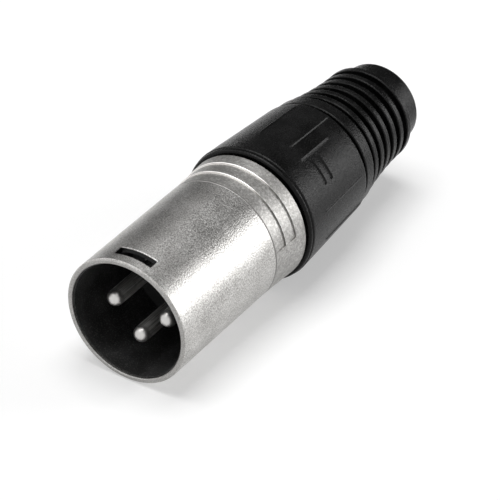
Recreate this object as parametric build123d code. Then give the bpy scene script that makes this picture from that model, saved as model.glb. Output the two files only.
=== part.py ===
from build123d import *
from math import cos, degrees, radians, sin, sqrt, tan
import os

os.makedirs("parts", exist_ok=True)

# A three-contact male cable plug of the 19 mm circular family.
# Z runs from the mouth, at the origin, to the cable end. The latch window looks towards minus Y.

# Shell
shell_radius = 9.5
shell_length = 29.4
collar_length = 7.1
collar_flare = 0.32
collar_line_width = 0.18
collar_line_depth = 0.06
mouth_wall = 0.75
rear_wall = 0.87
seat_depth = 14.0
mouth_bevel = 0.25
bore_bevel = 0.12
collar_round = 0.12
window_azimuth = -90
window_front = 1.6
window_length = 1.75
window_angle = 36.5
window_ramp = 0.1
stair_angle = 160
first_stair_setback = 4.64
second_stair_setback = 2.18
stair_relief = 0.12
key_width = 1.8
key_height = 0.5

# Insert
cup_gap = 0.05
cup_rim = 0.45
cup_wall = 0.7
cup_edge = 0.12
cup_depth = 13.2
floor_thickness = 6.0
rim_round = 0.15
liner_window_margin = 0.5
divider_azimuths = (45, 135, -140, -40)
divider_wall = 1.0
divider_length = 3.4
divider_gap = 0.4

# Contact pins
pin_azimuths = (180, 0, 90)
pin_setback = 3.76
pin_radius = 1.19
pin_tip = 2.7
pin_seat_radius = 1.42
pin_seat_proud = 0.1
pin_boss_wall = 0.35
pin_boss_height = 0.25
solder_cup_radius = 1.4
solder_cup_length = 6.2
solder_cup_bore = 0.95
solder_cup_depth = 4.2
solder_cup_collar = 1.2

# Earth strip
strip_width = 2.4
strip_thickness = 0.3
strip_azimuth = -90
strip_setback = 0.6
strip_slot_gap = 0.05
tag_gap = 0.5
tag_length = 4.6
tag_hole = 0.6

# Thread between the nut's spigot and the shell, drawn at its crests
thread_gap = 0.05
spigot_setback = 1.8
spigot_wall = 1.3
spigot_bevel = 0.3

# Clamping nut
nut_gap = 0.4
nut_length = 16.3
nut_overhang = 0.6
nut_taper = 3.2
nut_front_bevel = 0.16
nut_end_bevel = 0.2
lip_drop = 0.1
lip_length = 0.65
lip_round = 0.42
lip_edge = 0.1
pad_count = 4
pad_angle = 60
pad_azimuth = -42
pad_setback = 3.7
pad_depth = 0.15
grip_groove_setbacks = (6.5, 8.2)
grip_groove_angle = 22
grip_groove_width = 0.5
grip_groove_depth = 0.25
tail_length = 5.9
tail_wall = 0.74
tail_relief = 0.5

# Chuck
chuck_wall = 1.0
chuck_ring_gap = 0.3
chuck_round = 0.2
cone_length = 11.0
cone_reach = 0.9
cone_drop = 1.4
cone_gap = 0.06
jaw_bite = 0.1
jaw_length = 7.0
jaw_ramp = 4.0
groove_count = 4
groove_pitch = 1.4
groove_start = 0.84
groove_width = 1.26
groove_depth = 0.35
finger_count = 4
finger_slit = 1.2
finger_length = 17.0

# Boot
boot_length = 19.8
neck_wall = 1.5
neck_length = 0.85
ring_wall = 2.45
ring_length = 2.15
ring_drop = 0.15
ring_round = 0.2
rib_setback = 3.95
rib_pitch = 2.2
rib_count = 6
rib_width = 1.0
rib_round = 0.18
rib_wall = 1.92
rib_drop = 1.04
rib_curve = 1.8
sleeve_wall = 0.8
sleeve_drop = 0.95
end_drop = 0.1
end_round = 0.45
entry_radius = 3.8
entry_length = 10.0
entry_bevel = 0.4
funnel_length = 3.6

# How far a cutter stands out of what it cuts
cutter_margin = 1.0

# Radii that follow from the sizes above
collar_radius = shell_radius + collar_flare
front_bore = shell_radius - mouth_wall
rear_bore = collar_radius - rear_wall
cup_outer = front_bore - cup_gap
cup_radius = cup_outer - cup_wall
pin_circle = cup_radius - pin_setback
pin_boss_radius = pin_seat_radius + pin_boss_wall
strip_outer = sqrt((rear_bore - strip_slot_gap) ** 2 - (strip_width / 2) ** 2)
spigot_radius = rear_bore - thread_gap
spigot_bore = spigot_radius - spigot_wall
chuck_radius = spigot_bore - chuck_ring_gap
chuck_bore = chuck_radius - chuck_wall
tag_radius = chuck_bore - tag_gap - strip_thickness
divider_radius = chuck_bore - divider_gap
cone_end_radius = chuck_radius - cone_drop
jaw_radius = entry_radius - jaw_bite
nut_radius = collar_radius + nut_overhang
lip_radius = nut_radius - lip_drop
tail_bore = cone_end_radius + cone_gap
tail_radius = tail_bore + tail_wall
neck_radius = tail_radius + neck_wall
ring_radius = tail_radius + ring_wall
first_rib_radius = tail_radius + rib_wall
last_rib_radius = first_rib_radius - rib_drop
first_sleeve_radius = tail_radius + sleeve_wall
last_sleeve_radius = first_sleeve_radius - sleeve_drop
end_radius = last_sleeve_radius - end_drop

# Places along Z that follow from the sizes above
collar_start = shell_length - collar_length
first_stair = shell_length - first_stair_setback
second_stair = shell_length - second_stair_setback
floor_rear = cup_depth + floor_thickness
pin_seat_front = cup_depth - pin_boss_height - pin_seat_proud
strip_front = seat_depth + strip_setback
spigot_front = floor_rear + spigot_setback
nut_front = shell_length + nut_gap
body_front = nut_front + lip_length
pad_start = nut_front + pad_setback
nut_end = nut_front + nut_length
cone_end = nut_end + cone_reach
cone_start = cone_end - cone_length
jaw_front = cone_end - jaw_length
tail_end = nut_end + tail_length
ring_front = nut_end + neck_length
ring_rear = ring_front + ring_length
rib_start = nut_end + rib_setback
boot_end = nut_end + boot_length


def profile(corners):
    """Face in the XZ plane from corners (radius, height[, rounding]), closed on itself."""
    places = [(corner[0], corner[1]) for corner in corners]
    face = make_face(Polyline(*places, close=True))
    for corner in corners:
        if len(corner) == 3:
            vertex = face.vertices().sort_by_distance(Vector(corner[0], corner[1], 0))[0]
            face = fillet(vertex, corner[2])
    return Plane.XZ * face


def turned(corners):
    """Solid of revolution about Z from corners (radius, height[, rounding])."""
    return revolve(profile(corners), Axis.Z, 360)


def sector(corners, azimuth, angle):
    """Part of a solid of revolution, angle wide, centred on an azimuth."""
    return Rot(0, 0, azimuth - angle / 2) * revolve(profile(corners), Axis.Z, angle)


def around(azimuth, radius=0.0, height=0.0):
    """Place at a radius and height, turned so that its X points outwards."""
    return Rot(0, 0, azimuth) * Pos(radius, 0, height)


def collar_surface(height):
    """Radius of the flared collar at a height."""
    share = (height - collar_start) / (shell_length - collar_start)
    return shell_radius + share * (collar_radius - shell_radius)


def nut_surface(height):
    """Radius of the nut's taper at a height."""
    return nut_radius - (height - body_front) * tan(radians(nut_taper))


def make_shell():
    body = turned([
        (front_bore + bore_bevel, 0),
        (shell_radius - mouth_bevel, 0),
        (shell_radius, mouth_bevel),
        (shell_radius, collar_start - collar_line_width),
        (shell_radius - collar_line_depth, collar_start - collar_line_width / 2),
        (shell_radius, collar_start),
        (collar_radius, shell_length, collar_round),
        (rear_bore, shell_length),
        (rear_bore, seat_depth),
        (front_bore, seat_depth),
        (front_bore, bore_bevel),
    ])
    body -= make_window(front_bore - cutter_margin, shell_radius + cutter_margin, 0)
    body -= make_window_ramp()
    body -= make_stairs()
    return body + make_key(0)


def make_window(inner, outer, margin):
    """Cutter for the latch window, wider by a margin all round."""
    front = window_front - margin
    rear = window_front + window_length + margin
    angle = window_angle + degrees(2 * margin / shell_radius)
    return sector([(inner, front), (outer, front), (outer, rear), (inner, rear)], window_azimuth, angle)


def make_window_ramp():
    """Cutter for the slope on the window's rear edge, where the latch rides up."""
    rear = window_front + window_length
    over = shell_radius + window_ramp
    low = shell_radius - window_ramp
    return sector(
        [(low, rear - window_ramp), (over, rear - window_ramp), (over, rear + 2 * window_ramp)],
        window_azimuth,
        window_angle,
    )


def make_stairs():
    """Cutter that leaves the collar as two low steps, each undercut, on the window's side."""
    outer = collar_radius + cutter_margin
    step = collar_surface(first_stair)
    return sector(
        [
            (shell_radius, collar_start),
            (outer, collar_start),
            (outer, second_stair),
            (step - stair_relief, second_stair),
            (step, first_stair),
            (shell_radius - stair_relief, first_stair),
        ],
        window_azimuth,
        stair_angle,
    )


def make_key(gap):
    """Rib inside the shell, opposite the window, that keeps the insert from turning."""
    inner = rear_bore - key_height - gap
    width = key_width + 2 * gap
    bar = around(window_azimuth + 180, (inner + rear_bore) / 2, (seat_depth + floor_rear) / 2) * Box(
        rear_bore - inner + mouth_wall / 2, width, floor_rear - seat_depth
    )
    limit = Pos(0, 0, seat_depth) * Cylinder(
        rear_bore + rear_wall / 4, floor_rear - seat_depth, align=(Align.CENTER, Align.CENTER, Align.MIN)
    )
    return bar & limit


def make_insert():
    flange = rear_bore - cup_gap
    body = turned([
        (cup_outer - cup_edge, cup_rim),
        (cup_outer, cup_rim),
        (cup_outer, seat_depth),
        (flange, seat_depth),
        (flange, floor_rear, rim_round),
        (0, floor_rear),
        (0, cup_depth),
        (cup_radius, cup_depth),
    ])
    body -= make_window(cup_radius - cutter_margin, cup_outer + cutter_margin, liner_window_margin)
    body -= make_key(cup_gap)
    body += make_divider()
    for azimuth in pin_azimuths:
        body += around(azimuth, pin_circle, cup_depth) * Cylinder(
            pin_boss_radius, pin_boss_height, align=(Align.CENTER, Align.CENTER, Align.MAX)
        )
    for azimuth in pin_azimuths:
        body -= around(azimuth, pin_circle, cup_depth - cutter_margin) * Cylinder(
            pin_seat_radius, floor_thickness + 2 * cutter_margin, align=(Align.CENTER, Align.CENTER, Align.MIN)
        )
    return body - make_strip_slot()


def make_divider():
    """Walls behind the floor that stand between the solder cups and below the tag."""
    walls = Part()
    for azimuth in divider_azimuths:
        walls += around(azimuth, divider_radius / 2, floor_rear) * Box(
            divider_radius, divider_wall, divider_length, align=(Align.CENTER, Align.CENTER, Align.MIN)
        )
    return walls


def make_pin(azimuth):
    """One contact: round tip, shaft, seat in the floor, and a solder cup cut away on its outer side."""
    dome_centre = pin_tip + pin_radius
    outline = Plane.XZ * make_face(
        CenterArc((0, dome_centre), pin_radius, -90, 90)
        + Polyline(
            (pin_radius, dome_centre),
            (pin_radius, pin_seat_front),
            (pin_seat_radius, pin_seat_front),
            (pin_seat_radius, floor_rear),
            (0, floor_rear),
            (0, pin_tip),
        )
    )
    body = revolve(outline, Axis.Z, 360)
    cup = Pos(0, 0, floor_rear) * Cylinder(
        solder_cup_radius, solder_cup_length, align=(Align.CENTER, Align.CENTER, Align.MIN)
    )
    cup_end = floor_rear + solder_cup_length
    cup -= Pos(0, 0, cup_end) * Cylinder(
        solder_cup_bore, solder_cup_depth, align=(Align.CENTER, Align.CENTER, Align.MAX)
    )
    cup -= Pos(solder_cup_radius, 0, cup_end) * Box(
        2 * solder_cup_radius,
        4 * solder_cup_radius,
        2 * (solder_cup_depth - solder_cup_collar),
    )
    return around(azimuth, pin_circle) * (body + cup)


def make_strip():
    """Earth strip: a leg on the shell's bore, a crossing on the insert's rear and a tag."""
    inner = strip_outer - strip_thickness
    tag_outer = tag_radius + strip_thickness
    tag_end = floor_rear + tag_length
    outline = [
        (inner, strip_front),
        (strip_outer, strip_front),
        (strip_outer, floor_rear),
        (tag_outer, floor_rear),
        (tag_outer, tag_end),
        (tag_radius, tag_end),
        (tag_radius, floor_rear - strip_thickness),
        (inner, floor_rear - strip_thickness),
    ]
    strip = extrude(profile(outline), strip_width / 2, both=True)
    hole = Pos(tag_radius, 0, tag_end - 2 * tag_hole) * Rot(0, 90, 0) * Cylinder(tag_hole, 4 * strip_thickness)
    return Rot(0, 0, strip_azimuth) * (strip - hole)


def make_strip_slot():
    """Cutter for the insert: the strip's bed, open outwards and to the rear."""
    outside = rear_bore + cutter_margin
    behind = floor_rear + cutter_margin
    bed = floor_rear - strip_thickness
    inner = strip_outer - strip_thickness - strip_slot_gap
    outline = [
        (inner, strip_front - strip_slot_gap),
        (outside, strip_front - strip_slot_gap),
        (outside, behind),
        (tag_radius - strip_slot_gap, behind),
        (tag_radius - strip_slot_gap, bed),
        (inner, bed),
    ]
    slot = extrude(profile(outline), strip_width / 2 + strip_slot_gap, both=True)
    return Rot(0, 0, strip_azimuth) * slot


def make_chuck():
    """Collet: a ring that pushes on the insert, then fingers whose cone the nut squeezes."""
    body = turned([
        (chuck_bore, floor_rear),
        (chuck_radius, floor_rear, chuck_round),
        (chuck_radius, cone_start),
        (cone_end_radius, cone_end, chuck_round),
        (jaw_radius, cone_end, chuck_round),
        (jaw_radius, jaw_front),
        (chuck_bore, jaw_front - jaw_ramp),
    ])
    for number in range(groove_count):
        low = jaw_front + groove_start + number * groove_pitch
        body -= turned([
            (jaw_radius - cutter_margin, low),
            (jaw_radius, low),
            (jaw_radius + groove_depth, low + groove_width / 2),
            (jaw_radius, low + groove_width),
            (jaw_radius - cutter_margin, low + groove_width),
        ])
    for number in range(finger_count):
        azimuth = (number + 0.5) * 360 / finger_count
        body -= around(azimuth, 0, cone_end - finger_length) * Box(
            2 * chuck_radius, finger_slit, 2 * finger_length, align=(Align.MIN, Align.CENTER, Align.MIN)
        )
    return body


def pad_drop(height):
    """How far a pad's middle lies below the lands at a height."""
    return pad_depth * max(0, height - pad_start) / (nut_end - pad_start)


def pad_section(height, bevel):
    """Section of the nut's body: lands at full radius and flatter arcs across the pads."""
    radius = nut_surface(height) - bevel
    crown = radius - pad_drop(height)
    half = radians(pad_angle / 2)
    land = radians(360 / pad_count - pad_angle)
    edges = []
    for number in range(pad_count):
        middle = radians(pad_azimuth + number * 360 / pad_count)
        first = middle - half
        last = middle + half
        begin = (radius * cos(first), radius * sin(first))
        pad_middle = (crown * cos(middle), crown * sin(middle))
        end = (radius * cos(last), radius * sin(last))
        land_middle = (radius * cos(last + land / 2), radius * sin(last + land / 2))
        land_end = (radius * cos(last + land), radius * sin(last + land))
        edges.append(ThreePointArc(begin, pad_middle, end))
        edges.append(ThreePointArc(end, land_middle, land_end))
    return Pos(0, 0, height) * make_face(edges)


def make_nut_body():
    """Tapered body: round in front, then pads that deepen evenly to the rear, and bevelled ends."""
    body = loft(
        [
            pad_section(body_front, nut_front_bevel),
            pad_section(body_front + nut_front_bevel, 0),
            pad_section(pad_start, 0),
            pad_section(nut_end - nut_end_bevel, 0),
            pad_section(nut_end, nut_end_bevel),
        ],
        ruled=True,
    )
    lip = turned([
        (0, nut_front),
        (lip_radius, nut_front, lip_round),
        (lip_radius, body_front, lip_edge),
        (0, body_front),
    ])
    return body + lip


def make_grip_groove(height):
    """Cutter for one short groove round the first pad."""
    bottom = nut_surface(height) - pad_drop(height) - grip_groove_depth
    outer = nut_surface(height) + cutter_margin
    half = grip_groove_width / 2
    return sector(
        [
            (bottom, height - half / 2),
            (outer, height - half),
            (outer, height + half),
            (bottom, height + half / 2),
        ],
        pad_azimuth,
        grip_groove_angle,
    )


def make_nut():
    body = make_nut_body()
    for setback in grip_groove_setbacks:
        body -= make_grip_groove(nut_front + setback)
    body += turned([
        (0, spigot_front),
        (spigot_radius - spigot_bevel, spigot_front),
        (spigot_radius, spigot_front + spigot_bevel),
        (spigot_radius, nut_front),
        (0, nut_front),
    ])
    body += Pos(0, 0, nut_end) * Cylinder(tail_radius, tail_length, align=(Align.CENTER, Align.CENTER, Align.MIN))
    return body - turned([
        (0, spigot_front),
        (spigot_bore, spigot_front),
        (spigot_bore, cone_start - chuck_ring_gap),
        (chuck_radius + cone_gap, cone_start),
        (cone_end_radius + cone_gap, cone_end),
        (tail_bore, cone_end + tail_relief),
        (tail_bore, tail_end),
        (0, tail_end),
    ])


def rib_radius(number):
    """Outer radius of a rib, falling in a slack curve from the first to the last."""
    share = 1 - number / (rib_count - 1)
    return last_rib_radius + rib_drop * share ** rib_curve


def sleeve_radius(height):
    """Radius of the sleeve between its ribs at a height."""
    length = rib_start + rib_count * rib_pitch - nut_end
    share = (height - nut_end) / length
    return first_sleeve_radius + share * (last_sleeve_radius - first_sleeve_radius)


def make_boot():
    corners = [
        (tail_radius, nut_end),
        (neck_radius, nut_end),
        (neck_radius, ring_front),
        (ring_radius, ring_front, ring_round),
        (ring_radius - ring_drop, ring_rear, ring_round),
        (sleeve_radius(ring_rear), ring_rear),
    ]
    for number in range(rib_count):
        front = rib_start + number * rib_pitch
        rear = front + rib_width
        corners += [
            (sleeve_radius(front), front),
            (rib_radius(number), front, rib_round),
            (rib_radius(number), rear, rib_round),
            (sleeve_radius(rear), rear),
        ]
    corners += [
        (end_radius, boot_end, end_round),
        (entry_radius + entry_bevel, boot_end),
        (entry_radius, boot_end - entry_bevel),
        (entry_radius, boot_end - entry_length),
        (tail_bore, boot_end - entry_length - funnel_length),
        (tail_radius, tail_end),
    ]
    return turned(corners)


parts = {
    "shell": make_shell(),
    "insert": make_insert(),
    "ground_contact": make_strip(),
    "chuck": make_chuck(),
    "clamping_nut": make_nut(),
    "cable_boot": make_boot(),
}
for index, azimuth in enumerate(pin_azimuths):
    parts[f"pin_{index + 1}"] = make_pin(azimuth)

for name, shape in parts.items():
    export_step(shape, f"parts/{name}.step")
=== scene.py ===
"""A round three-contact cable plug that lies on a pale studio floor.

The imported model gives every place: Z runs from the plug's mouth, at the origin, to its cable end,
and the latch window looks towards minus Y, which is up in the picture. Sizes are in millimetres in
the classes below and become metres where a mesh is made.
"""

from __future__ import annotations

import logging
import math
from abc import ABC, abstractmethod
from dataclasses import dataclass, field
from enum import Enum
from typing import Any, Mapping

import bpy
import numpy as np
from mathutils import Matrix, Vector
from numpy.typing import NDArray


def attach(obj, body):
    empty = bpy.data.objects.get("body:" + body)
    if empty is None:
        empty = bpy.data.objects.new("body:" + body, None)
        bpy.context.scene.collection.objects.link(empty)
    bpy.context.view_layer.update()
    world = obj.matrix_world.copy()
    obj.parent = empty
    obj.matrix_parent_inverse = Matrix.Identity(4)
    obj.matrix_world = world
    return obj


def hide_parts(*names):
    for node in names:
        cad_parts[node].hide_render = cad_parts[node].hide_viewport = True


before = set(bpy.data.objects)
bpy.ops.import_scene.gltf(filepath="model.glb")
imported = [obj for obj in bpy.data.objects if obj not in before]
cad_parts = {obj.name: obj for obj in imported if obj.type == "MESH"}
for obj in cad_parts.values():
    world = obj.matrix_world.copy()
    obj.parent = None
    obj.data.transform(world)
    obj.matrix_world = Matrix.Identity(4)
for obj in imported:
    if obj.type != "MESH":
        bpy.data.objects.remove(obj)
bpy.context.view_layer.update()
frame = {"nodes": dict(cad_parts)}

Colour = tuple[float, float, float]
Point = tuple[float, float, float]
Span = tuple[float, float]
Array = NDArray[np.float64]
Indices = NDArray[np.int64]

MM = 0.001
WHITE: Colour = (1.0, 1.0, 1.0)
NOISE_MIDDLE = 0.5
LOG = logging.getLogger("plug")


class Body(Enum):
    """The moving groups of the plug."""

    SHELL = "shell_body"
    CHUCK = "chuck_body"
    NUT = "nut_body"


class Slot(Enum):
    """The record's material slots."""

    NICKEL = "nickel_shell"
    INSERT = "black_insert"
    CONTACT = "contact_metal"
    STRIP = "strip_metal"
    CHUCK = "white_chuck"
    NUT = "black_nut"
    BOOT = "soft_boot"


# Shader maths


@dataclass(frozen=True)
class Value:
    """A node's output number. An operator adds the Math node that works it out."""

    graph: "Graph"
    socket: bpy.types.NodeSocket

    def _math(self, operation: str, other: float | "Value") -> "Value":
        """Adds one Math node of this number and another."""
        return self.graph.node("Math", {"operation": operation}, {0: self, 1: other})

    def __add__(self, other: float | "Value") -> "Value":
        """This number plus another."""
        return self._math("ADD", other)

    __radd__ = __add__

    def __mul__(self, other: float | "Value") -> "Value":
        """This number times another."""
        return self._math("MULTIPLY", other)

    __rmul__ = __mul__

    def __sub__(self, other: float | "Value") -> "Value":
        """This number less another."""
        return self._math("SUBTRACT", other)

    def __rsub__(self, other: float) -> "Value":
        """Another number less this one."""
        return self * -1.0 + other

    def maximum(self, other: float | "Value") -> "Value":
        """The larger of this number and another."""
        return self._math("MAXIMUM", other)

    def swing(self, amount: float) -> "Value":
        """A noise turned into a change about nought: its way from the middle, times an amount."""
        return (self - NOISE_MIDDLE) * amount

    def smooth_step(self, low: float, high: float) -> "Value":
        """Runs from 0 at one value to 1 at another, with soft ends, and is level beyond them.

        Args:
            low: Where the result is 0.
            high: Where the result is 1.

        Returns:
            A number from 0 to 1.
        """
        sockets = {"Value": self, "From Min": low, "From Max": high}
        return self.graph.node("MapRange", {"interpolation_type": "SMOOTHSTEP"}, sockets, "Result")

    def ramp(self, low: float, high: float) -> "Value":
        """Runs straight from 0 at one value to 1 at another, and is level beyond them.

        Args:
            low: Where the result is 0.
            high: Where the result is 1.

        Returns:
            A number from 0 to 1.
        """
        sockets = {"Value": self, "From Min": low, "From Max": high}
        return self.graph.node("MapRange", sockets=sockets, output="Result")


@dataclass(frozen=True)
class Noise:
    """Soft noise from 0 to 1: its blobs per metre, and how many finer layers it has.

    Along is its scale in Z as a share of that across. Less than 1 draws it out into streaks.
    """

    scale: float
    detail: float
    along: float = 1.0


@dataclass
class Graph:
    """The nodes of one material, or of the world."""

    owner: bpy.types.Material | bpy.types.World
    tree: bpy.types.NodeTree = field(init=False)

    def __post_init__(self) -> None:
        """Switches the owner's nodes on and empties them."""
        self.owner.use_nodes = True
        self.tree = self.owner.node_tree
        self.tree.nodes.clear()

    @classmethod
    def of_material(cls, name: str) -> "Graph":
        """The nodes of a new material."""
        return cls(bpy.data.materials.new(name))

    def node(
        self,
        kind: str,
        settings: Mapping[str, Any] | None = None,
        sockets: Mapping[str | int, Any] | None = None,
        output: str | int = 0,
    ) -> Value:
        """Adds a node.

        Args:
            kind: The node's type without its ShaderNode prefix.
            settings: Its own settings, which are set first.
            sockets: A number, a colour or a Value for each named or numbered input.
            output: The name or number of the output that is wanted.

        Returns:
            That output.
        """
        made = self.tree.nodes.new("ShaderNode" + kind)
        for key, setting in (settings or {}).items():
            setattr(made, key, setting)
        for key, item in (sockets or {}).items():
            socket = self._find(made.inputs, key)
            if isinstance(item, Value):
                self.tree.links.new(item.socket, socket)
            else:
                socket.default_value = (*item, 1.0) if socket.type == "RGBA" else item
        return Value(self, self._find(made.outputs, output))

    @staticmethod
    def _find(sockets: Any, key: str | int) -> bpy.types.NodeSocket:
        """Looks a socket up.

        Args:
            sockets: A node's inputs or its outputs.
            key: The socket's number, its identifier or its name.

        Returns:
            The socket.
        """
        if isinstance(key, int):
            return sockets[key]
        named = [socket for socket in sockets if socket.identifier == key]
        return named[0] if named else sockets[key]

    def place(self) -> Value:
        """Object coordinates, in metres."""
        return self.node("TexCoord", output="Object")

    def axis(self, name: str) -> Value:
        """One part of the Object coordinates, by its letter."""
        return self.node("SeparateXYZ", sockets={0: self.place()}, output=name)

    def scaled_along(self, share: float) -> Value:
        """Object coordinates with their Z scaled."""
        sockets = {"Vector": self.place(), "Scale": (1.0, 1.0, share)}
        return self.node("Mapping", {"vector_type": "POINT"}, sockets)

    def radius(self) -> Value:
        """Distance from the Z axis, in metres."""
        return self.node("VectorMath", {"operation": "LENGTH"}, {0: self.scaled_along(0.0)}, "Value")

    def noise(self, kind: Noise) -> Value:
        """Adds soft noise in Object coordinates.

        Args:
            kind: Its scale, its detail and its stretch along Z.

        Returns:
            The noise, from 0 to 1.
        """
        vector = self.place() if kind.along == 1.0 else self.scaled_along(kind.along)
        sockets = {"Vector": vector, "Scale": kind.scale, "Detail": kind.detail}
        return self.node("TexNoise", {"noise_dimensions": "3D"}, sockets)

    def cells(self, scale: float) -> Value:
        """Distance to the nearest of many scattered points, scale of them per metre."""
        sockets = {"Vector": self.place(), "Scale": scale}
        return self.node("TexVoronoi", sockets=sockets, output="Distance")

    def blend(self, factor: float | Value, first: Colour | Value, second: Colour | Value) -> Value:
        """Mixes two colours.

        Args:
            factor: The share of the second colour.
            first: The colour at 0.
            second: The colour at 1.

        Returns:
            The mixed colour.
        """
        sockets = {"Factor_Float": factor, "A_Color": first, "B_Color": second}
        return self.node("Mix", {"data_type": "RGBA"}, sockets, "Result_Color")

    def bump(self, height: Value, depth: float, strength: float | Value = 1.0) -> Value:
        """Turns a height into a normal.

        Args:
            height: The height, about 0 to 1.
            depth: How many metres a height of 1 stands for.
            strength: The share of it that shows.

        Returns:
            The normal.
        """
        sockets = {"Height": height, "Distance": depth, "Strength": strength}
        return self.node("Bump", sockets=sockets)

    def shows_background(self) -> Value:
        """Tells the rays that show the background from those that only light the plug.

        Returns:
            1 for the camera's own rays and for mirrored and refracted ones, and 0 for the others.
        """
        kinds = ("Is Camera Ray", "Is Glossy Ray", "Is Transmission Ray")
        camera, glossy, transmission = (self.node("LightPath", output=kind) for kind in kinds)
        return camera.maximum(glossy).maximum(transmission)

    def finish(self, shader: Value, kind: str = "OutputMaterial") -> bpy.types.Material | bpy.types.World:
        """Links a shader to a new output node.

        Args:
            shader: The shader.
            kind: The output node's type without its ShaderNode prefix.

        Returns:
            The material or the world that the nodes belong to.
        """
        output = self.tree.nodes.new("ShaderNode" + kind)
        self.tree.links.new(shader.socket, output.inputs["Surface"])
        return self.owner

    def principled(self, inputs: Mapping[str, Any]) -> bpy.types.Material:
        """The finished material, with a Principled shader that has these inputs."""
        return self.finish(self.node("BsdfPrincipled", sockets=inputs))


# Finishes


class Finish(ABC):
    """A surface that can be made into a material."""

    @abstractmethod
    def material(self) -> bpy.types.Material:
        """The finished material."""


@dataclass(frozen=True)
class Zone:
    """A stretch of Z that looks different, with soft ends."""

    start: float
    end: float
    colour: Colour
    share: float = 1.0
    edge: float = 0.0001

    def mask(self, graph: Graph) -> Value:
        """Works out where the zone's colour shows: from start to end, and fading beyond both.

        Args:
            graph: The nodes of the material that has the zone.

        Returns:
            The share of the zone's colour.
        """
        along = graph.axis("Z")
        entered = along.smooth_step(self.start - self.edge, self.start)
        return entered * (1 - along.smooth_step(self.end, self.end + self.edge)) * self.share


@dataclass(frozen=True)
class SatinNickel(Finish):
    """Pearl nickel on blasted die-cast metal: a fine sparkle, soft blotches and a duller collar."""

    name: str = "satin_nickel"
    light: Colour = (0.64, 0.63, 0.615)
    dark: Colour = (0.30, 0.292, 0.28)
    dull: Colour = (0.23, 0.226, 0.218)
    grain: Noise = Noise(5600.0, 3.0)
    blotch: Noise = Noise(260.0, 4.0)
    mottle: Noise = Noise(2400.0, 3.0)
    pit_scale: float = 4480.0
    tone_grain: float = 0.8
    tone_span: Span = (0.36, 0.64)
    mottle_grain: float = 0.3
    mottle_span: Span = (0.40, 0.60)
    rim_span: Span = (0.00011, 0.00022)
    rim_dull: float = 0.5
    rim_rough: float = 0.05
    collar_span: Span = (0.02225, 0.02235)
    collar_dull: float = 0.15
    collar_mottle: float = 0.55
    collar_rough: float = 0.10
    bore_span: Span = (0.0093, 0.0094)
    # Painted shade: near black on the latch window's walls, below the shell's outer surface near the
    # mouth.
    inside: Zone = Zone(0.0005, 0.0040, (0.02, 0.02, 0.02))
    # Painted shade: a dark band of colour along the collar's seam line.
    seam_shade: Zone = Zone(0.02224, 0.02236, (0.17, 0.165, 0.16), 0.85)
    # Painted highlights: near-white bands of colour along the collar's two stair walls.
    glints: tuple[Zone, Zone] = (
        Zone(0.02475, 0.02487, (0.97, 0.95, 0.93), edge=0.00003),
        Zone(0.02721, 0.02733, (0.97, 0.95, 0.93), edge=0.00003),
    )
    glint_end: Span = (0.0023, 0.0063)
    stair_half: float = 0.00008
    stair_rise: float = 3.0
    roughness: float = 0.38
    blotch_rough: float = 0.05
    grain_rough: float = 0.20
    grain_rise: float = 0.8
    pit_rise: float = 0.5
    relief_depth: float = 0.000032

    def material(self) -> bpy.types.Material:
        """Grain in bump, colour and gloss, slow blotches, a dull rim and collar, and painted shade on the
        seam and in the window.

        The light and the dark tone are mixed by grain and blotches together. Each stair wall of the
        collar has a glint, painted as a near-white band of colour, and a step in the bump's height, which
        end where X passes glint_end.

        Returns:
            The nickel.
        """
        graph = Graph.of_material(self.name)
        grain = graph.noise(self.grain)
        blotch = graph.noise(self.blotch)
        along = graph.axis("Z")
        rim = 1 - along.smooth_step(*self.rim_span)
        collar = along.smooth_step(*self.collar_span)
        # The side where the painted glints and the stair steps show: X below glint_end.
        left = 1 - graph.axis("X").smooth_step(*self.glint_end)
        bore = 1 - graph.radius().smooth_step(*self.bore_span)
        tone = (grain * self.tone_grain + blotch * (1 - self.tone_grain)).smooth_step(*self.tone_span)
        patches = grain * self.mottle_grain + graph.noise(self.mottle) * (1 - self.mottle_grain)
        dulled = patches.smooth_step(*self.mottle_span) * self.collar_mottle + self.collar_dull
        worn = (rim * self.rim_dull).maximum(collar * dulled)
        colour = graph.blend(worn, graph.blend(tone, self.dark, self.light), self.dull)
        # Painted shade: darkens the collar's seam line.
        colour = graph.blend(self.seam_shade.mask(graph), colour, self.seam_shade.colour)
        stairs: float | Value = 0.0
        for glint in self.glints:
            # Painted highlight: the glint's near-white colour, on that side only.
            colour = graph.blend(glint.mask(graph) * left, colour, glint.colour)
            middle = (glint.start + glint.end) / 2
            stairs = along.ramp(middle - self.stair_half, middle + self.stair_half) + stairs
        # Painted shade: near black in the window, where Z is in the zone and the radius is below
        # bore_span.
        colour = graph.blend(self.inside.mask(graph) * bore, colour, self.inside.colour)
        rough = blotch.swing(self.blotch_rough) + grain.swing(self.grain_rough) + self.roughness
        rough = rough + (collar * self.collar_rough + rim * self.rim_rough)
        pits = graph.cells(self.pit_scale)
        relief = grain * self.grain_rise + pits * self.pit_rise + stairs * left * self.stair_rise
        normal = graph.bump(relief, self.relief_depth, 1 - rim)
        return graph.principled(
            {"Base Color": colour, "Metallic": 1.0, "Roughness": rough, "Normal": normal}
        )


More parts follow.
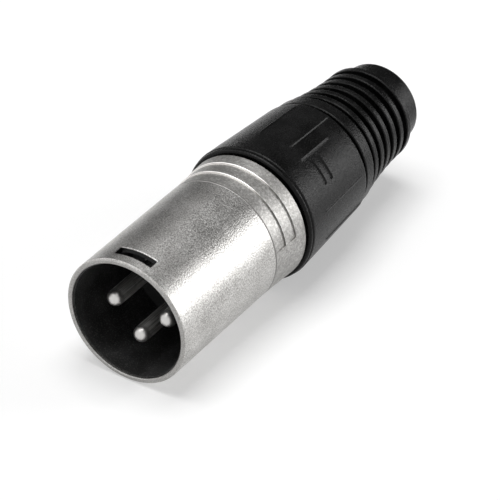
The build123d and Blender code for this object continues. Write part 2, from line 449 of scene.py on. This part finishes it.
@dataclass(frozen=True)
class MouldedBlack(Finish):
    """Black moulded plastic or rubber with a spark-eroded grain and a faint bloom."""

    name: str
    base: Colour
    bloom: Colour
    roughness: float
    grain: Noise
    grain_depth: float
    speck: Noise
    specular: float = 0.5
    zone: Zone | None = None
    cloud: Noise = Noise(260.0, 4.0)
    cloud_span: Span = (0.35, 0.75)
    cloud_share: float = 0.3
    speck_span: Span = (0.54, 0.66)
    speck_share: float = 0.5
    cloud_rough: float = 0.14
    grain_rough: float = 0.20

    def material(self) -> bpy.types.Material:
        """Grain in bump, a slow change of colour and gloss over it, and the zone's colour laid over that.

        The bloom's share is the sum of slow clouds and fine specks.

        Returns:
            The plastic.
        """
        graph = Graph.of_material(self.name)
        grain = graph.noise(self.grain)
        cloud = graph.noise(self.cloud)
        speck = graph.noise(self.speck).smooth_step(*self.speck_span)
        share = cloud.smooth_step(*self.cloud_span) * self.cloud_share + speck * self.speck_share
        colour = graph.blend(share, self.base, self.bloom)
        # The zone's colour; on the nut it is painted shade on the lip.
        if self.zone:
            colour = graph.blend(self.zone.mask(graph), colour, self.zone.colour)
        rough = cloud.swing(self.cloud_rough) + grain.swing(self.grain_rough) + self.roughness
        inputs = {
            "Base Color": colour,
            "Roughness": rough,
            "Specular IOR Level": self.specular,
            "Normal": graph.bump(grain, self.grain_depth),
        }
        return graph.principled(inputs)


@dataclass(frozen=True)
class DrawnMetal(Finish):
    """Plated drawn metal: fine streaks along Z, slight tarnish, and a polished end."""

    name: str
    bright: Colour
    tarnish: Colour
    roughness: float
    polished: float
    polish_span: Span
    streak: Noise
    streak_depth: float
    streak_span: Span = (0.40, 0.60)
    streak_dull: float = 0.6
    streak_rough: float = 0.25
    spot: Noise = Noise(900.0, 4.0)
    spot_span: Span = (0.45, 0.80)
    spot_dull: float = 0.3
    spot_rough: float = 0.12
    end_spots: float = 0.1

    def material(self) -> bpy.types.Material:
        """Streaks from noise that is drawn out along Z, tarnish from slow noise, gloss by height.

        The shaft begins where the polish ends. The polished end has few spots and no streaks.

        Returns:
            The metal.
        """
        graph = Graph.of_material(self.name)
        streaks = graph.noise(self.streak)
        shaft = graph.axis("Z").smooth_step(*self.polish_span)
        spotted = shaft * (1 - self.end_spots) + self.end_spots
        spots = graph.noise(self.spot).smooth_step(*self.spot_span) * spotted
        lines = streaks.smooth_step(*self.streak_span) * shaft
        dulled = spots * self.spot_dull + lines * self.streak_dull
        gloss = shaft * (self.roughness - self.polished) + self.polished
        inputs = {
            "Base Color": graph.blend(dulled, self.bright, self.tarnish),
            "Metallic": 1.0,
            "Roughness": streaks.swing(self.streak_rough) * shaft + spots * self.spot_rough + gloss,
            "Normal": graph.bump(streaks, self.streak_depth, shaft),
        }
        return graph.principled(inputs)


@dataclass(frozen=True)
class WhiteAcetal(Finish):
    """Milky white moulding with faint flow marks."""

    name: str = "white_acetal"
    milk: Colour = (0.78, 0.77, 0.72)
    cream: Colour = (0.70, 0.68, 0.62)
    flow: Noise = Noise(420.0, 3.0, 0.25)
    flow_span: Span = (0.3, 0.7)
    flow_rough: float = 0.15
    grain: Noise = Noise(3800.0, 2.0)
    grain_rough: float = 0.08
    grain_depth: float = 0.000004
    roughness: float = 0.30

    def material(self) -> bpy.types.Material:
        """Flow marks from noise that is drawn out along Z, in colour and gloss.

        Returns:
            The acetal.
        """
        graph = Graph.of_material(self.name)
        flow = graph.noise(self.flow)
        grain = graph.noise(self.grain)
        inputs = {
            "Base Color": graph.blend(flow.smooth_step(*self.flow_span), self.milk, self.cream),
            "Roughness": flow * self.flow_rough + grain * self.grain_rough + self.roughness,
            "Normal": graph.bump(grain, self.grain_depth),
        }
        return graph.principled(inputs)


# Surfaces


def ring_quads(rows: int, columns: int, close_rows: bool, close_columns: bool) -> Indices:
    """Quads of a grid of points.

    Each joins point (row, column) to (row, column + 1), (row + 1, column + 1) and (row + 1, column),
    counted round at a closed side.

    Args:
        rows: How many rows the grid has.
        columns: How many points each row has.
        close_rows: Whether the last row joins the first.
        close_columns: Whether each row's last point joins its first.

    Returns:
        One row of four point numbers per quad.
    """
    row = np.arange(rows if close_rows else rows - 1)[:, None]
    column = np.arange(columns if close_columns else columns - 1)[None, :]
    next_row = (row + 1) % rows
    next_column = (column + 1) % columns
    corners = (
        row * columns + column,
        row * columns + next_column,
        next_row * columns + next_column,
        next_row * columns + column,
    )
    return np.stack(np.broadcast_arrays(*corners), axis=-1).reshape(-1, 4)


def cylinder_points(radius: Array, azimuth: Array, height: Array) -> Array:
    """Points at radius times the cosine and sine of the azimuth, and at the height, in metres.

    Args:
        radius: Radii in millimetres.
        azimuth: Azimuths in radians.
        height: Heights in millimetres.

    Returns:
        One row of three coordinates per point.
    """
    radius, azimuth, height = np.broadcast_arrays(radius, azimuth, height)
    points = np.stack((radius * np.cos(azimuth), radius * np.sin(azimuth), height), axis=-1)
    return points.reshape(-1, 3) * MM


def make_object(name: str, points: Array, quads: Indices, sharp_angle: float = 32.0) -> bpy.types.Object:
    """Makes a smooth mesh object whose edges are sharp where faces meet at more than an angle.

    Args:
        name: The piece's name.
        points: Its points in metres.
        quads: Its faces.
        sharp_angle: The angle in degrees.

    Returns:
        The object, at the origin.
    """
    mesh = bpy.data.meshes.new(name)
    mesh.from_pydata(points, [], quads)
    mesh.polygons.foreach_set("use_smooth", np.ones(len(quads), dtype=bool))
    mesh.update()
    mesh.validate()
    mesh.set_sharp_from_angle(angle=math.radians(sharp_angle))
    made = bpy.data.objects.new(name, mesh)
    bpy.context.scene.collection.objects.link(made)
    return made


def run(first: Span, last: Span, count: int) -> Array:
    """Points (radius, height) spaced evenly from one to just before another."""
    share = np.linspace(0.0, 1.0, count, endpoint=False)[:, None]
    return np.asarray(first) + share * (np.asarray(last) - np.asarray(first))


def arc(centre: Span, radius: float, first: float, last: float, count: int) -> Array:
    """Points (radius, height) on an arc, from one angle in degrees to another, both included."""
    angle = np.radians(np.linspace(first, last, count))
    return np.asarray(centre) + radius * np.stack((np.cos(angle), np.sin(angle)), axis=-1)


def ease(values: Array) -> Array:
    """Values held within 0 to 1 and eased at both ends: three squares less two cubes."""
    held = np.clip(values, 0.0, 1.0)
    return held * held * (3.0 - 2.0 * held)


def degrees_off(azimuth: Array, middle: float, turn: float = 360.0) -> Array:
    """Degrees from a middle azimuth, from minus to plus half a turn, counted afresh every turn."""
    return np.mod(np.degrees(azimuth) - middle + turn / 2, turn) - turn / 2


def dress(piece: bpy.types.Object, finish: bpy.types.Material) -> None:
    """Gives every material slot of a piece one finish, with a slot made where it has none.

    Args:
        piece: The piece.
        finish: Its material.
    """
    if not piece.material_slots:
        piece.data.materials.append(finish)
    for slot in piece.material_slots:
        slot.material = finish
    LOG.info("%s: dressed in %s", piece.name, finish.name)


def settle(piece: bpy.types.Object, body: Body, finish: bpy.types.Material) -> None:
    """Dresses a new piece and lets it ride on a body.

    Args:
        piece: The piece.
        body: The body that it moves with.
        finish: Its material.
    """
    dress(piece, finish)
    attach(piece, body.value)
    LOG.info("%s: %d faces on %s", piece.name, len(piece.data.polygons), body.value)


# The screw thread


@dataclass(frozen=True)
class ScrewThread:
    """Right-hand thread of the nut's spigot in the shell."""

    pitch: float = 1.25
    crest_radius: float = 8.9
    depth: float = 0.38
    root_half: float = 0.20
    flank: float = 0.16
    ridge_half: float = 0.15
    ridge_tip: float = 8.57
    ridge_foot: float = 8.97
    groove_place: float = 0.5
    run_in: float = 0.25

    def groove(self, azimuth: Array, height: Array) -> Array:
        """How deep the spigot's groove is.

        The share of a turn left over from height over pitch, less azimuth over a full turn, gives the
        place across the thread; the groove is full depth near its middle and rises along two flanks.

        Args:
            azimuth: Azimuths in radians.
            height: Heights in millimetres.

        Returns:
            Depths in millimetres below the crests.
        """
        place = np.mod(height / self.pitch - azimuth / (2.0 * np.pi), 1.0)
        off_middle = np.abs(place - self.groove_place)
        return self.depth * np.clip((self.root_half + self.flank - off_middle) / self.flank, 0.0, 1.0)

    def ridge(self, start: float, end: float, columns: int) -> tuple[Array, Indices]:
        """The shell's ridge: a four-cornered bar carried along the groove's middle.

        The middle's height is the start plus the pitch times the turns gone by. The bar's tip rises
        out of the bore over the first run_in of a turn and sinks back over the last.

        Args:
            start: Height where it begins, in millimetres.
            end: Height where it ends.
            columns: Points per turn.

        Returns:
            Points in metres, and quads.
        """
        first_turn = math.ceil(start / self.pitch) + self.groove_place
        turns = math.floor((end - first_turn * self.pitch) / self.pitch)
        turn = np.linspace(0.0, turns, turns * columns + 1)[:, None]
        middle = (first_turn + turn) * self.pitch
        rise = ease(turn / self.run_in) * ease((turns - turn) / self.run_in)
        tip = self.ridge_foot + rise * (self.ridge_tip - self.ridge_foot)
        tip_half = self.ridge_half * self.pitch
        foot_half = tip_half + self.flank * self.pitch
        foot = np.full_like(tip, self.ridge_foot)
        radius = np.concatenate((foot, tip, tip, foot), axis=1)
        offset = np.array([[-foot_half, -tip_half, tip_half, foot_half]])
        points = cylinder_points(radius, 2.0 * np.pi * turn, middle + offset)
        return points, ring_quads(len(turn), 4, False, True)


# The plug's sub-assemblies


@dataclass
class Shell:
    """Metal shell with its latch window, and the thread inside its rear."""

    nodes: Mapping[str, bpy.types.Object]
    finish: SatinNickel = field(default_factory=SatinNickel)
    thread: ScrewThread = field(default_factory=ScrewThread)
    thread_start: float = 20.4
    thread_end: float = 29.0
    thread_columns: int = 96

    def build(self) -> None:
        """Dresses the shell and adds its thread."""
        nickel = self.finish.material()
        dress(self.nodes["shell"], nickel)
        points, quads = self.thread.ridge(self.thread_start, self.thread_end, self.thread_columns)
        settle(make_object("shell_thread", points, quads), Body.SHELL, nickel)


@dataclass
class Contacts:
    """Black insert with its three pins and the earth strip."""

    nodes: Mapping[str, bpy.types.Object]
    moulding: MouldedBlack = MouldedBlack(
        name="black_insert",
        base=(0.006, 0.006, 0.006),
        bloom=(0.105, 0.105, 0.105),
        roughness=0.46,
        grain=Noise(4200.0, 3.0),
        grain_depth=0.000030,
        speck=Noise(5040.0, 1.0),
        zone=Zone(0.0131, 0.0140, (0.030, 0.030, 0.030), 0.7),
    )
    plating: DrawnMetal = DrawnMetal(
        name="silver_plated_pins",
        bright=(0.60, 0.59, 0.575),
        tarnish=(0.17, 0.165, 0.155),
        roughness=0.56,
        polished=0.36,
        polish_span=(0.0039, 0.0041),
        streak=Noise(4200.0, 2.0, 0.04),
        streak_depth=0.000016,
    )
    spring: DrawnMetal = DrawnMetal(
        name="tinned_spring_strip",
        bright=(0.74, 0.72, 0.67),
        tarnish=(0.52, 0.49, 0.42),
        roughness=0.32,
        polished=0.30,
        polish_span=(0.0098, 0.010),
        streak=Noise(5000.0, 2.0, 0.04),
        streak_depth=0.000003,
    )

    def build(self) -> None:
        """Dresses the insert, the pins and the strip."""
        dress(self.nodes["insert"], self.moulding.material())
        silver = self.plating.material()
        for name in ("pin_1", "pin_2", "pin_3"):
            dress(self.nodes[name], silver)
        dress(self.nodes["ground_contact"], self.spring.material())


@dataclass
class Chuck:
    """White collet that grips the cable."""

    nodes: Mapping[str, bpy.types.Object]
    finish: WhiteAcetal = field(default_factory=WhiteAcetal)

    def build(self) -> None:
        """Dresses the collet."""
        dress(self.nodes["chuck"], self.finish.material())


@dataclass(frozen=True)
class Bead:
    """Thin raised line that runs along the nut at one azimuth."""

    azimuth: float
    start: float
    end: float
    half_width: float = 0.25
    height: float = 0.13
    end_run: float = 0.25

    def rise(self, azimuth: Array, height: Array, radius: float) -> Array:
        """How far the bead stands out.

        Its section is half of one plus a cosine, and both its ends ease down.

        Args:
            azimuth: Azimuths in radians.
            height: Heights in millimetres.
            radius: The nut's radius there, in millimetres.

        Returns:
            Heights above the nut, in millimetres.
        """
        across = np.radians(degrees_off(azimuth, self.azimuth)) * radius / self.half_width
        section = 0.5 + 0.5 * np.cos(np.pi * np.clip(across, -1.0, 1.0))
        along = ease((height - self.start) / self.end_run) * ease((self.end - height) / self.end_run)
        return self.height * section * along


PAD_BEADS = (
    Bead(-102.0, 35.8, 45.2),
    Bead(-72.0, 35.4, 45.7),
    Bead(-59.3, 34.0, 42.8, half_width=0.40, height=0.17, end_run=0.9),
    Bead(-12.0, 34.2, 45.0),
    Bead(18.0, 35.0, 45.4),
    Bead(78.0, 35.0, 45.4),
    Bead(108.0, 35.0, 45.4),
    Bead(168.0, 35.0, 45.4),
)


@dataclass
class ClampingNut:
    """Tapered black nut: threaded spigot, rounded lip, four flat pads with beaded edges, two grooves."""

    thread: ScrewThread = field(default_factory=ScrewThread)
    columns: int = 384
    column_groups: int = 12
    crowding: float = 0.8
    spigot_bore: float = 7.6
    spigot_front: float = 21.0
    spigot_bevel: float = 0.3
    thread_rows: int = 70
    thread_gap: float = 0.6
    neck_length: float = 0.45
    front: float = 29.8
    lip_radius: float = 10.32
    lip_length: float = 0.65
    lip_round: float = 0.42
    lip_edge: float = 0.1
    body_radius: float = 10.42
    body_rows: int = 110
    taper: float = 3.2
    end: float = 46.1
    edge_round: float = 0.34
    end_round: float = 0.22
    pad_azimuth: float = -42.0
    pad_angle: float = 60.0
    pad_count: int = 4
    pad_start: float = 33.5
    pad_depth: float = 0.15
    beads: tuple[Bead, ...] = PAD_BEADS
    groove_places: Span = (36.3, 38.0)
    groove_half_angle: float = 12.0
    groove_end_angle: float = 2.0
    groove_half_width: float = 0.375
    groove_side: float = 0.25
    groove_depth: float = 0.25
    tail_radius: float = 6.7
    tail_bore: float = 5.96
    tail_end: float = 52.0
    cone_start: float = 36.0
    cone_end: float = 47.0
    cone_radius: float = 7.36
    cone_step: float = 0.3
    finish: MouldedBlack = MouldedBlack(
        name="black_nylon",
        base=(0.001, 0.001, 0.001),
        bloom=(0.021, 0.021, 0.021),
        roughness=0.26,
        grain=Noise(5200.0, 3.0),
        grain_depth=0.000060,
        speck=Noise(6240.0, 1.0),
        specular=0.145,
        # Painted shade: the zone darkens the lip in the gap behind the shell.
        zone=Zone(0.0296, 0.0304, (0.001, 0.001, 0.001), 0.8),
    )

    def surface(self, height: Array | float) -> Array | float:
        """Radius of the taper at a height: the front radius less the slope times the way gone."""
        gone = height - self.front - self.lip_length
        return self.body_radius - gone * math.tan(math.radians(self.taper))

    def profile(self) -> tuple[Array, Array, Array]:
        """The nut's section, run round from the spigot's front edge and back through the bore.

        Returns:
            The points (radius, height), whether each is on the thread, and whether each is on the body.
        """
        crest = self.thread.crest_radius
        bevelled = crest - self.spigot_bevel
        bevel_end = self.spigot_front + self.spigot_bevel
        neck = crest - self.thread.depth
        lip_middle = self.lip_radius - self.lip_round
        lip_rear = self.lip_radius - self.lip_edge
        body_front = self.front + self.lip_length
        edge = self.edge_round
        taper_start = body_front + 2 * edge
        taper_end = self.end - self.end_round
        end_middle = float(self.surface(self.end)) - self.end_round
        throat = self.cone_start - self.cone_step
        spigot = np.concatenate((
            run((self.spigot_bore, self.spigot_front), (bevelled, self.spigot_front), count=2),
            run((bevelled, self.spigot_front), (crest, bevel_end), count=3),
            run((crest, bevel_end), (crest, self.front - self.thread_gap), self.thread_rows),
        ))
        lip = np.concatenate((
            run((neck, self.front - self.neck_length), (neck, self.front), count=2),
            run((neck, self.front), (lip_middle, self.front), count=2),
            arc((lip_middle, self.front + self.lip_round), self.lip_round, -90, 0, count=9),
            arc((lip_rear, body_front - self.lip_edge), self.lip_edge, 0, 90, count=4),
        ))
        body = np.concatenate((
            arc((self.body_radius - edge, body_front + edge), edge, -90, 0, count=5),
            run(
                (float(self.surface(taper_start)), taper_start),
                (float(self.surface(taper_end)), taper_end),
                self.body_rows,
            ),
            arc((end_middle, taper_end), self.end_round, 0, 90, count=6),
        ))
        inside = np.concatenate((
            run((self.tail_radius, self.end), (self.tail_radius, self.tail_end), count=2),
            run((self.tail_radius, self.tail_end), (self.tail_bore, self.tail_end), count=1),
            run((self.tail_bore, self.tail_end), (self.tail_bore, self.cone_end), count=3),
            run((self.tail_bore, self.cone_end), (self.cone_radius, self.cone_start), count=8),
            run((self.cone_radius, self.cone_start), (self.spigot_bore, throat), count=1),
            run((self.spigot_bore, throat), (self.spigot_bore, self.spigot_front), count=8),
        ))
        parts = (spigot, lip, body, inside)
        kinds = np.repeat(np.arange(len(parts)), [len(part) for part in parts])
        return np.concatenate(parts), kinds == 0, kinds == 2

    def azimuths(self) -> Array:
        """Azimuths in radians, drawn together at the pads' edges.

        Each group of columns runs through its share of the circle evenly, less a sine that slows it
        at both ends.

        Returns:
            One azimuth per column.
        """
        steps = self.columns // self.column_groups
        share = np.arange(steps) / steps
        slowed = share - self.crowding * np.sin(2.0 * np.pi * share) / (2.0 * np.pi)
        begin = self.pad_azimuth - self.pad_angle / 2
        groups = np.arange(self.column_groups)[:, None]
        degrees = begin + (groups + slowed[None, :]) * (360.0 / self.column_groups)
        return np.radians(degrees).reshape(1, -1)

    def pads(self, azimuth: Array, height: Array) -> Array:
        """How far the pads lie below the taper.

        The depth grows evenly from the pads' start to the nut's end, times one less the square of the
        way from the pad's middle to its edge.

        Args:
            azimuth: Azimuths in radians.
            height: Heights in millimetres.

        Returns:
            Depths in millimetres.
        """
        off_middle = degrees_off(azimuth, self.pad_azimuth, 360.0 / self.pad_count)
        across = np.clip(1.0 - (off_middle / (self.pad_angle / 2)) ** 2, 0.0, 1.0)
        along = np.clip((height - self.pad_start) / (self.end - self.pad_start), 0.0, 1.0)
        return self.pad_depth * across * along

    def grooves(self, azimuth: Array, height: Array) -> Array:
        """How deep the two short grooves are: a flat bottom, and eased sides and ends.

        Args:
            azimuth: Azimuths in radians.
            height: Heights in millimetres.

        Returns:
            Depths in millimetres.
        """
        off_middle = np.abs(degrees_off(azimuth, self.pad_azimuth))
        ends = ease((self.groove_half_angle - off_middle) / self.groove_end_angle)
        sides = sum(
            ease((self.groove_half_width - np.abs(height - place)) / self.groove_side)
            for place in self.groove_places
        )
        return self.groove_depth * ends * sides

    def mesh(self) -> bpy.types.Object:
        """Makes the profile turned round the axis, less the thread, the pads and the grooves.

        Returns:
            The nut, with its beads.
        """
        profile, on_thread, on_body = self.profile()
        azimuth = self.azimuths()
        radius = np.repeat(profile[:, :1], azimuth.size, axis=1)
        height = profile[:, 1:]
        groove = self.thread.crest_radius - self.thread.groove(azimuth, height)
        radius = np.where(on_thread[:, None], np.minimum(radius, groove), radius)
        raised = sum(bead.rise(azimuth, height, self.body_radius) for bead in self.beads)
        lower = self.pads(azimuth, height) + self.grooves(azimuth, height) - raised
        radius = np.where(on_body[:, None], radius - lower, radius)
        points = cylinder_points(radius, azimuth, height)
        quads = ring_quads(len(profile), azimuth.size, True, True)
        return make_object("clamping_nut_body", points, quads)

    def build(self) -> None:
        """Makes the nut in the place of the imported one."""
        nut = self.mesh()
        settle(nut, Body.NUT, self.finish.material())
        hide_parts("clamping_nut")


@dataclass
class Boot:
    """Soft ribbed sleeve that keeps the cable from kinking."""

    nodes: Mapping[str, bpy.types.Object]
    finish: MouldedBlack = MouldedBlack(
        name="soft_black_sleeve",
        base=(0.001, 0.001, 0.001),
        bloom=(0.023, 0.023, 0.023),
        roughness=0.27,
        grain=Noise(5200.0, 3.0),
        grain_depth=0.000060,
        speck=Noise(6240.0, 1.0),
        specular=0.14,
    )

    def build(self) -> None:
        """Dresses the sleeve."""
        dress(self.nodes["cable_boot"], self.finish.material())


# The studio


@dataclass(frozen=True)
class Lamp:
    """A soft rectangular lamp that looks at a point."""

    name: str
    place: Point
    aim: Point
    width: float
    height: float
    power: float

    def build(self) -> None:
        """Hangs the lamp and turns it to its aim. The camera doesn't see it."""
        data = bpy.data.lights.new(self.name, "AREA")
        data.shape = "RECTANGLE"
        data.size = self.width
        data.size_y = self.height
        data.energy = self.power
        lamp = bpy.data.objects.new(self.name, data)
        bpy.context.scene.collection.objects.link(lamp)
        lamp.location = self.place
        sight = Vector(self.aim) - Vector(self.place)
        lamp.rotation_euler = sight.to_track_quat("-Z", "Y").to_euler()
        lamp.visible_camera = False


@dataclass(frozen=True)
class Floor:
    """White table under the lying plug: it touches the nut and the shell's rim."""

    rim_radius: float = 9.5
    nut_radius: float = 10.42
    nut_place: float = 30.5
    reach: float = 260.0
    albedo: float = 0.56
    seen_albedo: float = 0.66
    seen_glow: float = 0.37

    def material(self) -> bpy.types.Material:
        """White from above and clear from below.

        Where it shows, to the camera or in a mirrored or refracted ray, a glow lifts it to near
        white under its shadow. The plug is lit by its plain colour alone.

        Returns:
            The table's material.
        """
        graph = Graph.of_material("white_table")
        plain = graph.node("BsdfDiffuse", sockets={"Color": (self.albedo,) * 3})
        seen = graph.node("BsdfDiffuse", sockets={"Color": (self.seen_albedo,) * 3})
        glow = graph.node("Emission", sockets={"Color": WHITE, "Strength": self.seen_glow})
        bright = graph.node("AddShader", sockets={0: seen, 1: glow})
        mixed = {0: graph.shows_background(), 1: plain, 2: bright}
        front = graph.node("MixShader", sockets=mixed)
        behind = graph.node("NewGeometry", output="Backfacing")
        clear = graph.node("BsdfTransparent", sockets={"Color": WHITE})
        return graph.finish(graph.node("MixShader", sockets={0: behind, 1: front, 2: clear}))

    def build(self) -> None:
        """Lays the table as one square that faces the plug."""
        slope = (self.nut_radius - self.rim_radius) / self.nut_place
        side = np.array([-self.reach, self.reach])
        across, along = np.meshgrid(side, side)
        below = self.rim_radius + slope * along
        points = np.stack((across, below, along), axis=-1).reshape(-1, 3) * MM
        table = make_object("table", points, ring_quads(2, 2, False, False))
        dress(table, self.material())


@dataclass(frozen=True)
class Studio:
    """Camera, table, lamps and the white room."""

    camera_place: Point = (0.171718912, -0.220615130, -0.242331602)
    camera_aim: Point = (0.001704947, 0.003907946, 0.027825117)
    camera_up: Point = (-0.32266188, -0.81777549, 0.47658427)
    lens: float = 201.617
    sensor: float = 36.0
    clip: Span = (0.01, 20.0)
    room_light: float = 0.14
    backdrop_fade: Span = (0.22, 0.38)
    floor: Floor = Floor()
    lamps: tuple[Lamp, ...] = (
        Lamp("overhead", (-0.10, -1.0, 0.10), (0.0, 0.0, 0.03), 0.65, 0.65, 7.5),
        Lamp("back_right", (0.62, -0.22, 0.68), (0.0, 0.0, 0.03), 0.42, 0.42, 3.9),
        Lamp("left_low", (-0.85, -0.46, -0.02), (0.0, 0.0, 0.02), 0.5, 0.5, 0.9),
        Lamp("front_left", (-0.32, -0.86, -0.36), (0.0, 0.0, 0.03), 0.5, 0.4, 1.25),
    )

    def build_camera(self) -> None:
        """Sets the camera by its place, its aim and the direction that is up in the picture."""
        back = (Vector(self.camera_place) - Vector(self.camera_aim)).normalized()
        right = Vector(self.camera_up).cross(back).normalized()
        up = back.cross(right)
        data = bpy.data.cameras.new("camera")
        data.lens = self.lens
        data.sensor_width = self.sensor
        data.clip_start, data.clip_end = self.clip
        camera = bpy.data.objects.new("camera", data)
        bpy.context.scene.collection.objects.link(camera)
        turn = Matrix((right, up, back)).transposed()
        camera.matrix_world = Matrix.LocRotScale(Vector(self.camera_place), turn, None)
        bpy.context.scene.camera = camera

    def build_room(self) -> None:
        """Makes a world that lights the plug softly and shows a white backdrop behind it.

        The backdrop shows to the camera and in mirrored and refracted rays. Its strength is 1 for
        directions that climb little along Z, and fades to the room's light for steeper ones. Every
        other ray gets the room's light.
        """
        world = bpy.data.worlds.new("room")
        graph = Graph(world)
        sight = graph.node("TexCoord", output="Generated")
        height = graph.node("SeparateXYZ", sockets={0: sight}, output="Z")
        backdrop = 1 - height.smooth_step(*self.backdrop_fade)
        strength = graph.shows_background() * backdrop * (1.0 - self.room_light) + self.room_light
        shade = graph.node("Background", sockets={"Color": WHITE, "Strength": strength})
        bpy.context.scene.world = graph.finish(shade, "OutputWorld")

    def build(self) -> None:
        """Sets the whole studio up."""
        bpy.context.scene.view_settings.view_transform = "Standard"
        self.build_camera()
        self.build_room()
        self.floor.build()
        for lamp in self.lamps:
            lamp.build()


def main() -> None:
    """Builds the studio and the plug, piece by piece."""
    logging.basicConfig(level=logging.INFO, format="%(name)s %(message)s")
    nodes = frame["nodes"]
    Studio().build()
    Shell(nodes).build()
    Contacts(nodes).build()
    Chuck(nodes).build()
    ClampingNut().build()
    Boot(nodes).build()


if __name__ == "__main__":
    main()
